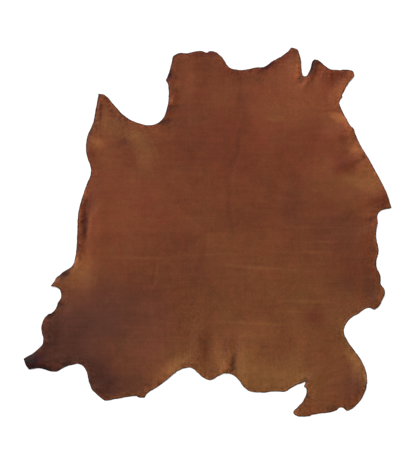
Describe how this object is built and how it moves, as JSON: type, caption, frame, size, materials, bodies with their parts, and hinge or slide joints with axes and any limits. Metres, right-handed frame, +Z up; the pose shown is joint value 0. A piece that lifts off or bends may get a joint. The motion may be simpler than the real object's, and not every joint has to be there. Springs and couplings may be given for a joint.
{
  "type": "tanned leather hide",
  "caption": "Whole tanned animal hide laid flat, grain side up: a leather sheet with an uneven natural rim and low ruffles beside it, to cover a surface or cut parts from.",
  "frame": {"origin": "middle of the rim's box, on the surface that the hide lies on", "axes": "+Z up from the flesh side to the grain side, +Y towards the neck, +X to the right seen from above"},
  "size_m": [1.2252, 1.2302, 0.0105],
  "materials": {
    "leather": "semi-matte waxed grain"
  },
  "bodies": {
    "root": {"hide": "leather"}
  },
  "joints": []
}
